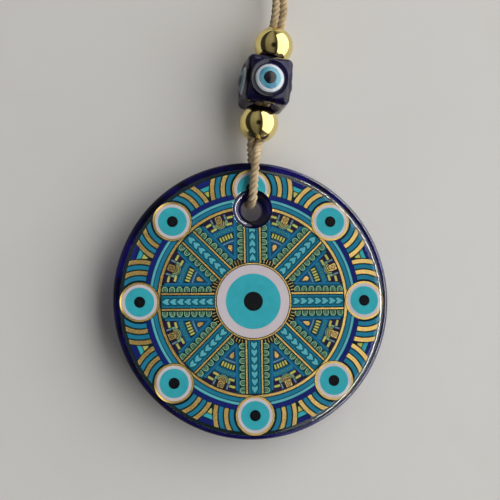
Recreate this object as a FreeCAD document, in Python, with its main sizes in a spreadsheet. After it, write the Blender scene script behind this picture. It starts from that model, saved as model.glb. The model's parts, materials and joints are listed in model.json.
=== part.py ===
import FreeCAD, Part

import math
import os

import Sketcher
from FreeCAD import Placement, Rotation, Vector

# Evil eye ornament: a glass disc hung from a doubled twine that carries two metal beads and a glass cube.
# +Z is up and the front faces -Y. The origin is the hanging point, inside the loop just under the end knot.
# The disc, the string and the loop are laid out from the centre of the disc's front glass face, and each
# piece is then placed from the hanging point.

doc = FreeCAD.newDocument("EvilEyeOrnament")
sheet = doc.addObject("Spreadsheet::Sheet", "Sizes")

sizes = {
    # glass disc
    "disc_radius": 45.0,
    "glass_thickness": 7.0,
    "rim_round_front": 1.0,
    "rim_round_back": 2.0,
    "hole_radius": 3.5,
    "hole_inset": 15.5,  # from the rim's top down to the hole's axis
    "mouth_round": 3.0,  # flare of the hole at the front face
    "back_round": 2.0,  # flare of the hole at the back face
    # printed film and the resin over it
    "film_margin": 2.0,  # glass left bare round the film
    "film_thickness": 0.2,
    "film_shift_x": 0.15,
    "film_shift_z": -0.6,
    "resin_thickness": 0.8,
    "resin_lap": 0.2,  # resin beyond the film's edge
    "resin_round": 0.5,
    # twine
    "cord_radius": 1.25,
    "strand_gap": 0.14,  # between the two strands of the string
    "cord_gap": 0.3,  # between the cord and the disc
    "bore_gap": 0.43,  # between the pair of strands and a bead's bore
    # beads
    "bead_radius": 6.55,
    "bead_wall": 0.9,
    "bead_nest": 0.52,  # how far a bead sits into the dished end of the cube
    "bead_gap": 0.18,
    "cube_width": 15.25,
    "cube_height": 15.85,
    "cube_round": 1.6,
    "cube_bore_gap": 0.93,  # between the pair of strands and the cube's bore, which is wider than a bead's
    "dish_gap": 1.4,  # between a bead and the dish round it
    "cube_tilt": 6.7,  # the cube hangs a little loose, so it leans less than the string
    "cube_pitch": 3.2,
    "cube_yaw": 2.2,
    "cube_shift": 0.3,  # to the left of the string
    # glass dots on the cube
    "eye_radius": 4.85,
    "iris_radius": 3.9,
    "pupil_radius": 2.25,
    "eye_seat": 0.5,  # depth of the seat in the cube's side
    "eye_dome": 14.0,  # radius of the dome over the white and the blue
    "eye_rise": 0.95,  # height of that dome above the cube's side
    "iris_floor": 0.1,  # where the blue starts, above the cube's side
    "pupil_floor": 0.2,
    "pupil_dome": 4.0,
    "pupil_rise": 1.5,
    # layout of the string
    "string_tilt": 10.9,
    "bead_x": 2.45,
    "bead_rise": 13.7,  # from the rim's top up to the lower bead's centre
    "bend_room": 6.6,  # straight string kept above the upper bead, for the beads to slide up
    "loop_length": 30.8,  # from there up to the hanging point
    "loop_half_width": 3.5,
    "loop_taper": 0.1,  # how much wider the loop is at its shoulder, and narrower at its side
    "loop_shoulder": 1.0,  # from the hanging point down to the loop's shoulder
    "loop_side": 10.0,  # and down to its side
    "loop_foot": 22.0,  # and down to where its strands come together
    "string_end": 1.7,  # straight string kept below the lower bead
    "rim_rise": 1.9,  # how high above the rim the strands bend down along the disc
    "back_leg_x": 1.0,
    "front_leg_x": 0.85,
    "bight_x": -0.35,
    "knot_drop": 5.0,  # from the hanging point up to the knot's underside
    "knot_radius": 4.6,
    "knot_height": 8.5,
    "knot_round": 1.8,
    "tail_length": 9.8,
    "tail_lean_low": 0.5,  # sideways lean of a tail at half its length
    "tail_lean_high": 2.3,  # and at its end
    "tail_lean_front": 0.6,
    "sink": 1.0,  # how far the cord and its tails run into the knot
}

for row, (alias, value) in enumerate(sizes.items(), start=1):
    sheet.set(f"A{row}", alias.replace("_", " "))
    sheet.set(f"B{row}", str(value))
    sheet.setAlias(f"B{row}", alias)
doc.recompute()


def size(alias):
    return float(getattr(sheet, alias))


def cell(formula):
    """Puts the sheet's name before each alias in a formula."""
    words = formula.split()
    return " ".join(f"Sizes.{word}" if word in sizes else word for word in words)


# Lengths worked out from the sheet
strand_offset = size("cord_radius") + size("strand_gap") / 2
bore_radius = strand_offset + size("cord_radius") + size("bore_gap")
bore_formula = "cord_radius * 2 + strand_gap / 2 + bore_gap"
bead_half_length = math.sqrt(size("bead_radius") ** 2 - bore_radius**2)
bead_spacing = 2 * (bead_half_length + size("bead_gap") - size("bead_nest")) + size("cube_height")
cube_bore_radius = strand_offset + size("cord_radius") + size("cube_bore_gap")
cube_bore_formula = "cord_radius * 2 + strand_gap / 2 + cube_bore_gap"
face_y = -(size("film_thickness") + size("resin_thickness"))
front_leg_y = face_y - size("cord_gap") - size("cord_radius")
back_leg_y = size("glass_thickness") + size("cord_gap") + size("cord_radius")
string_y = (front_leg_y + back_leg_y) / 2
hole_z = size("disc_radius") - size("hole_inset")
bight_z = hole_z + size("hole_radius") - size("cord_gap") - size("cord_radius")

tilt = math.radians(size("string_tilt"))
along = Vector(math.sin(tilt), 0, math.cos(tilt))
across = Vector(math.cos(tilt), 0, -math.sin(tilt))
lower_bead = Vector(size("bead_x"), string_y, size("disc_radius") + size("bead_rise"))


def on_string(rise, side=0):
    """A point this far up the string from the lower bead, on its axis or its left or right strand."""
    return lower_bead + along * rise + across * (side * strand_offset)


string_top = bead_spacing + bead_half_length + size("bend_room")
hang_point = on_string(string_top) + Vector(0, 0, size("loop_length"))


def place(point, rotation=Rotation()):
    """A placement in the ornament's frame for a point given from the disc's centre."""
    return Placement(point - hang_point, rotation)


string_turn = Rotation(Vector(0, 1, 0), size("string_tilt"))


# Helpers for bodies made from sketches
def new_body(name):
    body = doc.addObject("PartDesign::Body", name)
    body.Label = name
    return body


def new_sketch(body, name, role, lift=None):
    """An empty sketch on one of the body's origin planes, lifted along its normal by a formula."""
    sketch = body.newObject("Sketcher::SketchObject", name)
    plane = next(item for item in body.Origin.OriginFeatures if item.Role == role)
    sketch.AttachmentSupport = [(plane, "")]
    sketch.MapMode = "FlatFace"
    if lift:
        sketch.setExpression("AttachmentOffset.Base.z", cell(lift))
    return sketch


def bind(sketch, index, name, formula):
    """Names a dimension of a sketch and ties it to the sheet."""
    sketch.renameConstraint(index, name)
    sketch.setExpression(f"Constraints.{name}", cell(formula))


def add_circle(sketch, name, radius, right=None, up=None):
    """A circle of a bound radius, at the sketch's origin or at bound distances from it."""
    circle = sketch.addGeometry(Part.Circle(Vector(1, 1, 0), Vector(0, 0, 1), 1.0), False)
    bind(sketch, sketch.addConstraint(Sketcher.Constraint("Radius", circle, 1.0)), f"{name}_radius", radius)
    if right is None and up is None:
        sketch.addConstraint(Sketcher.Constraint("Coincident", circle, 3, -1, 1))
        return
    if right is None:
        sketch.addConstraint(Sketcher.Constraint("PointOnObject", circle, 3, -2))
    else:
        spot = sketch.addConstraint(Sketcher.Constraint("DistanceX", -1, 1, circle, 3, 1.0))
        bind(sketch, spot, f"{name}_right", right)
    spot = sketch.addConstraint(Sketcher.Constraint("DistanceY", -1, 1, circle, 3, 1.0))
    bind(sketch, spot, f"{name}_up", up)


def add_pad(body, name, sketch, length, towards_back=False, centred=False):
    pad = body.newObject("PartDesign::Pad", name)
    pad.Profile = sketch
    pad.setExpression("Length", cell(length))
    pad.Reversed = towards_back
    if centred:
        pad.SideType = "Symmetric"
    doc.recompute()
    return pad


def round_edges(body, name, radius, wanted):
    """Rounds the edges of the body's tip for which wanted(edge) holds."""
    base = body.Tip
    edges = [f"Edge{i}" for i, edge in enumerate(base.Shape.Edges, start=1) if wanted(edge)]
    fillet = body.newObject("PartDesign::Fillet", name)
    fillet.Base = (base, edges)
    fillet.setExpression("Radius", cell(radius))
    doc.recompute()
    return fillet


def is_circle(radius, y):
    """A test for a full circular edge of that radius in the plane at that y."""
    near = 1e-4

    def wanted(edge):
        curve = edge.Curve
        return (
            isinstance(curve, Part.Circle)
            and abs(curve.Radius - radius) < near
            and abs(curve.Center.y - y) < near
        )

    return wanted


# Disc, film and resin
def make_glass_disc():
    """Round plate with a hanging hole whose edges are flared, so that the twine bends over smooth glass."""
    body = new_body("glass_disc")
    outline = new_sketch(body, "disc_outline", "XZ_Plane")
    add_circle(outline, "rim", "disc_radius")
    add_circle(outline, "hole", "hole_radius", up="disc_radius - hole_inset")
    add_pad(body, "disc_plate", outline, "glass_thickness", towards_back=True)
    back = size("glass_thickness")
    round_edges(body, "hole_mouth", "mouth_round", is_circle(size("hole_radius"), 0))
    round_edges(body, "hole_back", "back_round", is_circle(size("hole_radius"), back))
    round_edges(body, "rim_front", "rim_round_front", is_circle(size("disc_radius"), 0))
    round_edges(body, "rim_back", "rim_round_back", is_circle(size("disc_radius"), back))
    body.Placement = place(Vector())
    return body


def make_layer(name, radius, thickness, lift=None):
    """A thin round layer on the disc's face, cut out round the mouth of the hole."""
    body = new_body(name)
    outline = new_sketch(body, f"{name}_outline", "XZ_Plane", lift)
    add_circle(outline, "edge", radius)
    add_circle(
        outline,
        "hole",
        "hole_radius + mouth_round",
        right="0 - film_shift_x",
        up="disc_radius - hole_inset - film_shift_z",
    )
    add_pad(body, f"{name}_layer", outline, thickness)
    body.Placement = place(Vector(size("film_shift_x"), 0, size("film_shift_z")))
    return body


def make_printed_film():
    return make_layer("printed_film", "disc_radius - film_margin", "film_thickness")


def make_resin_coat():
    radius = "disc_radius - film_margin + resin_lap"
    body = make_layer("resin_coat", radius, "resin_thickness", lift="film_thickness")
    edge_radius = size("disc_radius") - size("film_margin") + size("resin_lap")
    round_edges(body, "resin_edge", "resin_round", is_circle(edge_radius, face_y))
    mouth_radius = size("hole_radius") + size("mouth_round")
    round_edges(body, "resin_mouth", "resin_round", is_circle(mouth_radius, face_y))
    return body


# Beads
def primitive(kind, name, **formulas):
    """A Part primitive whose named sizes are tied to the sheet."""
    item = doc.addObject(f"Part::{kind}", name)
    for key, formula in formulas.items():
        item.setExpression(key, cell(formula))
    return item


def combine(kind, name, first, second):
    """A boolean of two objects: Cut takes the second away, Common keeps what both share."""
    item = doc.addObject(f"Part::{kind}", name)
    item.Base, item.Tool = first, second
    item.Label = name
    return item


def make_gold_bead(name, rise):
    """Hollow ball of sheet metal with a bore along the string."""
    ball = primitive("Sphere", f"{name}_ball", Radius="bead_radius")
    hollow = primitive("Sphere", f"{name}_hollow", Radius="bead_radius - bead_wall")
    bore = primitive("Cylinder", f"{name}_bore", Radius=bore_formula, Height="bead_radius * 2")
    bore.setExpression("Placement.Base.z", cell("0 - bead_radius"))
    shell = combine("Cut", f"{name}_shell", ball, hollow)
    bead = combine("Cut", name, shell, bore)
    bead.Placement = place(on_string(rise), string_turn)
    return bead


cube_turn = (
    Rotation(Vector(0, 1, 0), size("cube_tilt"))
    * Rotation(Vector(1, 0, 0), -size("cube_pitch"))
    * Rotation(Vector(0, 0, 1), size("cube_yaw"))
)
cube_place = place(on_string(bead_spacing / 2) - across * size("cube_shift"), cube_turn)


def make_glass_cube():
    """Glass cube with rounded edges, a bore, a round seat in each side and a dish for a bead in each end."""
    body = new_body("cube_blank")
    outline = new_sketch(body, "cube_outline", "XY_Plane")
    corners = [Vector(-1, -1, 0), Vector(1, -1, 0), Vector(1, 1, 0), Vector(-1, 1, 0)]
    for start, end in zip(corners, corners[1:] + corners[:1]):
        outline.addGeometry(Part.LineSegment(start, end), False)
    for side in range(4):
        outline.addConstraint(Sketcher.Constraint("Coincident", side, 2, (side + 1) % 4, 1))
        outline.addConstraint(Sketcher.Constraint("Vertical" if side % 2 else "Horizontal", side))
    outline.addConstraint(Sketcher.Constraint("Symmetric", 0, 1, 2, 1, -1, 1))
    for side, kind in ((0, "DistanceX"), (1, "DistanceY")):
        spot = outline.addConstraint(Sketcher.Constraint(kind, side, 1, side, 2, 2.0))
        bind(outline, spot, f"width_{side}", "cube_width")
    add_pad(body, "cube_block", outline, "cube_height", centred=True)
    round_edges(body, "cube_edges", "cube_round", lambda edge: True)

    bore = new_sketch(body, "bore_outline", "XY_Plane")
    add_circle(bore, "bore", cube_bore_formula)
    before = body.Tip.Shape.Volume
    pocket = body.newObject("PartDesign::Pocket", "cube_bore")
    pocket.Profile = bore
    pocket.Type = "ThroughAll"
    pocket.SideType = "Symmetric"
    doc.recompute()
    expected = math.pi * cube_bore_radius**2 * size("cube_height")
    check_cut("cube_bore", before - body.Tip.Shape.Volume, expected)

    seat = new_sketch(body, "seat_outline", "XZ_Plane", lift="cube_width / 2")
    add_circle(seat, "seat", "eye_radius")
    before = body.Tip.Shape.Volume
    pocket = body.newObject("PartDesign::Pocket", "front_seat")
    pocket.Profile = seat
    pocket.setExpression("Length", cell("eye_seat"))
    doc.recompute()
    one_seat = math.pi * size("eye_radius") ** 2 * size("eye_seat")
    check_cut("front_seat", before - body.Tip.Shape.Volume, one_seat)

    seats = body.newObject("PartDesign::PolarPattern", "four_seats")
    seats.Originals = [pocket]
    seats.Axis = (bore, ["N_Axis"])
    seats.Angle = 360
    seats.Occurrences = 4
    body.Tip = seats
    doc.recompute()
    check_cut("four_seats", before - body.Tip.Shape.Volume, 4 * one_seat)

    dished = body
    for name, side in (("lower_dish", -1), ("upper_dish", 1)):
        dish = primitive("Sphere", f"{name}_ball", Radius="bead_radius + dish_gap")
        dish.Placement.Base.z = side * bead_spacing / 2
        dished = combine("Cut", name, dished, dish)
    dished.Label = "glass_cube"
    dished.Placement = cube_place
    return dished


def check_cut(name, removed, expected):
    tolerance = 0.01 * expected
    if abs(removed - expected) > tolerance:
        raise RuntimeError(f"{name} removed {removed:.1f} mm3 and should remove {expected:.1f}")


def make_disk(name, radius, floor, top):
    """A round blank for a glass dot, from one height above the cube's side to another."""
    blank = primitive("Cylinder", name, Radius=radius, Height=f"( {top} ) - ( {floor} )")
    blank.setExpression("Placement.Base.z", cell(floor))
    return blank


def make_dome(name, radius, top):
    ball = primitive("Sphere", name, Radius=radius)
    ball.setExpression("Placement.Base.z", cell(f"{top} - {radius}"))
    return ball


def make_eye(side, quarter_turns):
    """The three glass dots on a side of the cube: the white holds the blue, which holds the pupil."""
    eye_place = (
        cube_place
        * Placement(Vector(), Rotation(Vector(0, 0, 1), 90 * quarter_turns))
        * Placement(Vector(0, -size("cube_width") / 2, 0), Rotation(Vector(1, 0, 0), 90))
    )
    eye = f"{side}_eye"
    white = combine(
        "Common",
        f"{eye}_white_dome",
        make_disk(f"{eye}_white_blank", "eye_radius", "0 - eye_seat", "eye_rise"),
        make_dome(f"{eye}_white_ball", "eye_dome", "eye_rise"),
    )
    blue = combine(
        "Common",
        f"{eye}_blue_dome",
        make_disk(f"{eye}_blue_blank", "iris_radius", "iris_floor", "eye_rise"),
        make_dome(f"{eye}_blue_ball", "eye_dome", "eye_rise"),
    )
    iris_seat = make_disk(f"{eye}_iris_seat", "iris_radius", "iris_floor", "eye_rise + eye_seat")
    pupil_seat = make_disk(f"{eye}_pupil_seat", "pupil_radius", "pupil_floor", "pupil_rise")
    pieces = [
        combine("Cut", f"{eye}_white", white, iris_seat),
        combine("Cut", f"{eye}_blue", blue, pupil_seat),
        combine(
            "Common",
            f"{eye}_pupil",
            make_disk(f"{eye}_pupil_blank", "pupil_radius", "pupil_floor", "pupil_rise"),
            make_dome(f"{eye}_pupil_ball", "pupil_dome", "pupil_rise"),
        ),
    ]
    for piece in pieces:
        piece.Placement = eye_place
    return pieces


# Twine
def bend_radius(before, corner, after):
    """The radius at a corner of a route whose arc takes up 0.45 of the shorter of the two runs."""
    run_share = 0.45
    turn = (corner - before).getAngle(after - corner)
    shorter = min((corner - before).Length, (after - corner).Length)
    return run_share * shorter / math.tan(turn / 2)


def make_tube(name, route, radius):
    """A tube of straight runs and tangent arcs. Each point of a route comes with its arc's radius or None."""
    points = [point for point, _ in route]
    edges = []
    start = points[0]
    radii = []
    for before, (corner, fixed), after in zip(points, route[1:-1], points[2:]):
        inward, outward = (before - corner).normalize(), (after - corner).normalize()
        half_turn = (corner - before).getAngle(after - corner) / 2
        bend = fixed or bend_radius(before, corner, after)
        radii.append(bend)
        reach = bend * math.tan(half_turn)
        first, last = corner + inward * reach, corner + outward * reach
        middle = corner + (inward + outward).normalize() * (bend / math.cos(half_turn) - bend)
        edges.append(Part.LineSegment(start, first).toShape())
        edges.append(Part.Arc(first, middle, last).toShape())
        start = last
    edges.append(Part.LineSegment(start, points[-1]).toShape())
    path = Part.Wire(edges)
    section = Part.Wire([Part.makeCircle(radius, points[0], points[1] - points[0])])
    tube = path.makePipeShell([section], True, True)
    check_cut(name, tube.Volume, math.pi * radius**2 * path.Length)
    piece = doc.addObject("Part::Feature", name)
    piece.Label = name
    piece.Shape = tube
    piece.Placement = place(Vector())
    print(f"{name}: {path.Length:.1f} mm long, radii {[round(value, 1) for value in radii]}")
    return piece


def make_hanging_cord():
    """One strand: down the left from the knot, behind the disc, through its hole and up the right."""
    spread, taper = size("loop_half_width"), size("loop_taper")

    def in_loop(side, half_width, drop):
        """A point of the loop, this far to one side of its middle and below the hanging point."""
        return hang_point + Vector(side * half_width, 0, -drop)

    def leg(side, leg_y, rim_x):
        """The strand on one side, from the knot to the disc's edge."""
        return [
            in_loop(side, strand_offset, -size("knot_drop") - size("sink")),
            in_loop(side, spread + taper, size("loop_shoulder")),
            in_loop(side, spread - taper, size("loop_side")),
            in_loop(side, strand_offset, size("loop_foot")),
            on_string(string_top, side),
            on_string(-bead_half_length - size("string_end"), side),
            Vector(rim_x, leg_y, size("disc_radius") + size("rim_rise")),
        ]

    hole_bend = size("back_round") + size("cord_gap") + size("cord_radius")
    bight = [
        (Vector(size("bight_x"), back_leg_y, bight_z), hole_bend),
        (Vector(size("bight_x"), front_leg_y, bight_z), None),
    ]
    left = [(point, None) for point in leg(-1, back_leg_y, size("back_leg_x"))]
    right = [(point, None) for point in leg(1, front_leg_y, size("front_leg_x"))]
    return make_tube("hanging_cord", left + bight + right[::-1], size("cord_radius"))


def make_end_knot():
    """The outer shape of the overhand knot that closes the loop."""
    body = new_body("end_knot")
    outline = new_sketch(body, "knot_outline", "XY_Plane")
    add_circle(outline, "knot", "knot_radius")
    add_pad(body, "knot_block", outline, "knot_height")
    round_edges(body, "knot_edges", "knot_round", lambda edge: isinstance(edge.Curve, Part.Circle))
    body.Placement = place(hang_point + Vector(0, 0, size("knot_drop")))
    return body


def make_tail(name, side):
    """A cut end of the twine, leaning out of the knot's top."""
    top = hang_point + Vector(0, 0, size("knot_drop") + size("knot_height"))
    low_x = side * (strand_offset + size("tail_lean_low"))
    high_x = side * (strand_offset + size("tail_lean_high"))
    route = [
        top + Vector(side * strand_offset, 0, -size("sink")),
        top + Vector(low_x, 0, size("tail_length") / 2),
        top + Vector(high_x, -size("tail_lean_front"), size("tail_length")),
    ]
    return make_tube(name, [(point, None) for point in route], size("cord_radius"))


pieces = [
    make_glass_disc(),
    make_printed_film(),
    make_resin_coat(),
    make_gold_bead("lower_gold_bead", 0),
    make_gold_bead("upper_gold_bead", bead_spacing),
    make_glass_cube(),
    make_hanging_cord(),
    make_end_knot(),
    make_tail("cord_tail_left", -1),
    make_tail("cord_tail_right", 1),
]
for quarter_turns, side in enumerate(("front", "right", "back", "left")):
    pieces += make_eye(side, quarter_turns)

doc.recompute()
failed = [item.Label for item in doc.Objects if {"Invalid", "Error"} & set(item.State)]
if failed:
    raise RuntimeError(f"objects failed: {failed}")
for piece in pieces:
    shape = piece.Shape
    if shape.isNull() or not shape.isValid() or len(shape.Solids) != 1:
        raise RuntimeError(f"{piece.Label} isn't one valid solid")

os.makedirs("parts", exist_ok=True)
for piece in pieces:
    piece.Shape.exportStep(f"parts/{piece.Label}.step")
    box = piece.Shape.BoundBox
    lows, highs = (box.XMin, box.YMin, box.ZMin), (box.XMax, box.YMax, box.ZMax)
    spans = ", ".join(f"{axis} {low:.2f} to {high:.2f}" for axis, low, high in zip("xyz", lows, highs))
    print(f"{piece.Label}: {piece.Shape.Volume:.1f} mm3, {spans}")
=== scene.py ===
import json
import random
from math import atan2, copysign, cos, exp, hypot, pi, radians, sin, sqrt

import bpy
from mathutils import Matrix, Vector


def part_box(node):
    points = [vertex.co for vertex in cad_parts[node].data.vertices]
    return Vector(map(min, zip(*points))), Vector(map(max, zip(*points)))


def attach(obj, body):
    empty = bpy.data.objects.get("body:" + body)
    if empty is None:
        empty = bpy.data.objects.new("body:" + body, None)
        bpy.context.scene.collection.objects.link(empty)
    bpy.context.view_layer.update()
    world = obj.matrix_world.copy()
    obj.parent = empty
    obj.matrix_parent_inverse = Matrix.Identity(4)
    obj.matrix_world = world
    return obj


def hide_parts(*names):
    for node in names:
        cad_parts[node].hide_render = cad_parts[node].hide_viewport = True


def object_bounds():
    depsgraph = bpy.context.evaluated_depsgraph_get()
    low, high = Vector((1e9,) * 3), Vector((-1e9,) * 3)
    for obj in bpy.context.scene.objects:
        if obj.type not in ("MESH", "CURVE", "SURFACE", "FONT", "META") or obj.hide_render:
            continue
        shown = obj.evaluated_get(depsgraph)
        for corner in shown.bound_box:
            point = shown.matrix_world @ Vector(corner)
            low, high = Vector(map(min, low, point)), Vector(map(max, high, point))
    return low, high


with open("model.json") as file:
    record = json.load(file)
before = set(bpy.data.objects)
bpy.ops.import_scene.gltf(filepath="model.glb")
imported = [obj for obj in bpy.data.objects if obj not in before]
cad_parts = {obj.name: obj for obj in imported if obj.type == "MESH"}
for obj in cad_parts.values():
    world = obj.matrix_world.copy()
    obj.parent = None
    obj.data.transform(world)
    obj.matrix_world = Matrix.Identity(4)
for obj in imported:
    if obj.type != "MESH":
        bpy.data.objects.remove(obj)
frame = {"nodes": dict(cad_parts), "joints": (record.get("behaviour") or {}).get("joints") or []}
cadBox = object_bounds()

# Evil eye ornament: a printed cobalt glass disc on a doubled jute twine with two gold beads and a glass cube.
# Lengths are in metres. +Z is up, the front faces -Y and the origin is inside the hanging loop.
mm = 0.001
fullTurn, thirdTurn = 6.28, 2.094  # radians, near enough for chance and for three-sided hairs
flush = 1e-5  # how close to a plane still counts as on it
joints = {joint["name"]: joint for joint in frame["joints"]}
random.seed(11)
print("frame loaded with", len(frame["nodes"]), "nodes")


# picking and placing
def toEdit():
    bpy.ops.object.mode_set(mode="EDIT")


def toObject():
    bpy.ops.object.mode_set(mode="OBJECT")


def pickAll():  # in edit mode
    bpy.ops.mesh.select_all(action="SELECT")


def pickNone():  # in edit mode
    bpy.ops.mesh.select_all(action="DESELECT")


def deselectAll():
    if bpy.context.object and bpy.context.object.mode != "OBJECT":
        toObject()
    bpy.ops.object.select_all(action="DESELECT")


def pickOnly(*pieces):
    deselectAll()
    for piece in pieces:
        piece.select_set(True)
    bpy.context.view_layer.objects.active = pieces[0]


def settle(piece):  # its place goes into the mesh, and the object back to the origin
    pickOnly(piece)
    bpy.ops.object.transform_apply(location=True, rotation=True, scale=True)
    return piece


def newest(name):  # the primitive just added, renamed
    piece = bpy.context.object
    piece.name = name
    piece.data.name = name
    return piece


def joined(name, pieces):
    pickOnly(*pieces)
    if len(pieces) > 1:
        bpy.ops.object.join()
    return newest(name)


def addObject(name, data):
    piece = bpy.data.objects.new(name, data)
    bpy.context.scene.collection.objects.link(piece)
    return piece


def copyOf(piece, name):
    return addObject(name, piece.data.copy())


def dress(piece, paint):
    piece.data.materials.clear()
    piece.data.materials.append(paint)
    return piece


def shadeSmooth(piece, degrees=40):
    pickOnly(piece)
    bpy.ops.object.shade_smooth_by_angle(angle=radians(degrees))
    return piece


def editAll(piece):
    pickOnly(piece)
    toEdit()
    pickAll()


def fixNormals(piece):
    editAll(piece)
    bpy.ops.mesh.remove_doubles(threshold=1e-6)
    bpy.ops.mesh.normals_make_consistent(inside=False)
    toObject()
    return piece


def runModifier(piece, kind, **settings):
    pickOnly(piece)
    modifier = piece.modifiers.new(kind.title(), kind)
    for key, value in settings.items():
        setattr(modifier, key, value)
    bpy.ops.object.modifier_apply(modifier=modifier.name)
    return piece


def drill(piece, cutter):
    runModifier(piece, "BOOLEAN", operation="DIFFERENCE", solver="EXACT", object=cutter)
    bpy.data.objects.remove(cutter)
    return piece


def pickFaces(piece, test):  # edit mode, with the faces picked that pass the test
    pickOnly(piece)
    toEdit()
    bpy.ops.mesh.select_mode(type="FACE")
    pickNone()
    toObject()
    found = 0
    for face in piece.data.polygons:
        face.select = test(face)
        found += face.select
    toEdit()
    return found


def pickEdges(piece, test):  # edit mode, with the edges picked whose two ends pass the test
    pickOnly(piece)
    toEdit()
    bpy.ops.mesh.select_mode(type="EDGE")
    pickNone()
    toObject()
    spots = [vertex.co for vertex in piece.data.vertices]
    for edge in piece.data.edges:
        edge.select = all(test(spots[i]) for i in edge.vertices)
    toEdit()


def roundEdges(piece, test, radius, steps):
    pickEdges(piece, test)
    bpy.ops.mesh.bevel(offset=radius, segments=steps, affect="EDGES", profile=0.5)
    toObject()
    return piece


# camera
view = dict(
    turn=-8.0, rise=-6.0, distance=0.3974, target=(-0.01088, -0.004, -0.11202),
    lens=88.2, sensor=36, clip=(0.01, 20),
)


def wayOut(turn, rise):  # a direction from the middle, in degrees from the front and above the level
    turn, rise = radians(turn), radians(rise)
    return Vector((sin(turn) * cos(rise), -cos(turn) * cos(rise), sin(rise)))


def makeCamera():
    back = wayOut(view["turn"], view["rise"])
    lens = bpy.data.cameras.new("camera")
    lens.lens, lens.sensor_width = view["lens"], view["sensor"]
    lens.clip_start, lens.clip_end = view["clip"]
    camera = addObject("camera", lens)
    camera.location = Vector(view["target"]) + back * view["distance"]
    camera.rotation_mode = "QUATERNION"
    camera.rotation_quaternion = (-back).to_track_quat("-Z", "Y")
    bpy.context.scene.camera = camera


makeCamera()
print("camera placed")

# twine
twine = dict(
    diameter=2.5 * mm,
    length=0.219,
    plies=3,
    plyRadius=0.79 * mm,
    plyReach=0.67 * mm,  # from the cord's middle to a ply's middle
    turnLength=5.8 * mm,
    sides=10,
    smoothness=64,  # points read for each point of the route
    slub=0.07,  # how much a ply swells and thins
    hairs=620,
    hairRadius=0.028 * mm,
    hairLength=(0.8, 2.4),  # mm
    hairLift=(0.15, 0.95),  # mm off the twine at the tip
    hairCurl=0.5,
    hairRoot=1.08 * mm,
    lap=10 * mm,  # twine to one turn of the UV map
    route=[
        (-1.32, 0, 6.0),  # inside the end knot
        (-3.6, 0, -1.0),
        (-3.4, 0, -10.0),
        (-1.32, 0, -22.0),  # the two strands come together
        (-1.3, 0, -30.55),
        (-2.91, 0, -38.9),
        (-8.82, 0, -69.59),
        (-10.14, 0, -76.46),  # under the lower bead
        (-8.87, 5.55, -81.12),
        (-10.1, 5.55, -91.0),
        (-10.22, 5.55, -96.57),  # through the disc's hole
        (-10.22, -5.55, -96.57),
        (-9.93, -5.55, -91.0),
        (-9.02, -5.55, -81.12),
        (-7.54, 0, -76.96),
        (-6.22, 0, -70.09),
        (-0.31, 0, -39.4),
        (1.3, 0, -31.05),
        (1.32, 0, -22.0),
        (3.4, 0, -10.0),
        (3.6, 0, -1.0),
        (1.32, 0, 6.0),
    ],
)


def readLine(name, route, smoothness):  # the smooth line that has the route's points as its controls
    curve = bpy.data.curves.new(name, "CURVE")
    curve.dimensions = "3D"
    spline = curve.splines.new("NURBS")
    spline.points.add(len(route) - 1)
    for point, spot in zip(spline.points, route):
        point.co = (*[value * mm for value in spot], 1)
    spline.order_u = 3
    spline.use_endpoint_u = True
    spline.resolution_u = smoothness
    carrier = addObject(name, curve)
    bpy.context.view_layer.update()
    mesh = bpy.data.meshes.new_from_object(carrier)
    line = [vertex.co.copy() for vertex in mesh.vertices]
    bpy.data.objects.remove(carrier)
    bpy.data.meshes.remove(mesh)
    return line


def framesAlong(line):  # at each point: the distance run, and two directions square to the line
    frames = []
    run = 0.0
    side = Vector((0, 1, 0))
    for i, spot in enumerate(line):
        ahead = (line[min(i + 1, len(line) - 1)] - line[max(i - 1, 0)]).normalized()
        side = (side - ahead * side.dot(ahead)).normalized()
        if i:
            run += (spot - line[i - 1]).length
        frames.append((run, ahead, side.copy(), ahead.cross(side)))
    return frames


def tubeMesh(name, rings, laps, sides):  # a closed tube through rings of spots, with its own UV map
    spots = [spot for ring in rings for spot in ring]
    faces = []
    for i in range(len(rings) - 1):
        for k in range(sides):
            here, there = i * sides + k, i * sides + (k + 1) % sides
            faces.append((here, there, there + sides, here + sides))
    last = (len(rings) - 1) * sides
    faces.append(tuple(reversed(range(sides))))
    faces.append(tuple(range(last, last + sides)))
    mesh = bpy.data.meshes.new(name)
    mesh.from_pydata(spots, [], faces)
    layer = mesh.uv_layers.new(name="UVMap")
    for face in mesh.polygons:
        for corner, index in zip(face.loop_indices, face.vertices):
            ring, side = divmod(index, sides)
            wraps = side == 0 and max(v % sides for v in face.vertices) == sides - 1
            layer.data[corner].uv = (laps[ring] / twine["lap"], 1.0 if wraps else side / sides)
        face.use_smooth = True
    return addObject(name, mesh)


def swing(side, other, angle):  # a direction square to the line, turned round it
    return side * cos(angle) + other * sin(angle)


def layPly(name, line, phase, taper=0):  # one twisted ply of the twine, thinned over its last few points
    frames = framesAlong(line)
    waves = [(random.uniform(250, 1400), random.uniform(0, fullTurn)) for _ in range(5)]
    rings, laps = [], []
    for i, (spot, (run, _, side, other)) in enumerate(zip(line, frames)):
        twist = phase + 2 * pi * run / twine["turnLength"]
        outward = swing(side, other, twist)
        swell = 1 + twine["slub"] * sum(sin(rate * run + start) for rate, start in waves) / 3
        thin = min(1.0, (len(line) - 1 - i + 1) / taper) if taper else 1.0
        middle = spot + outward * twine["plyReach"] * (0.4 + 0.6 * thin)
        radius = twine["plyRadius"] * swell * (0.45 + 0.55 * thin)
        ring = []
        for k in range(twine["sides"]):
            around = 2 * pi * k / twine["sides"] + twist
            ring.append(middle + swing(side, other, around) * radius)
        rings.append(ring)
        laps.append(run)
    return tubeMesh(name, rings, laps, twine["sides"])


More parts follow.
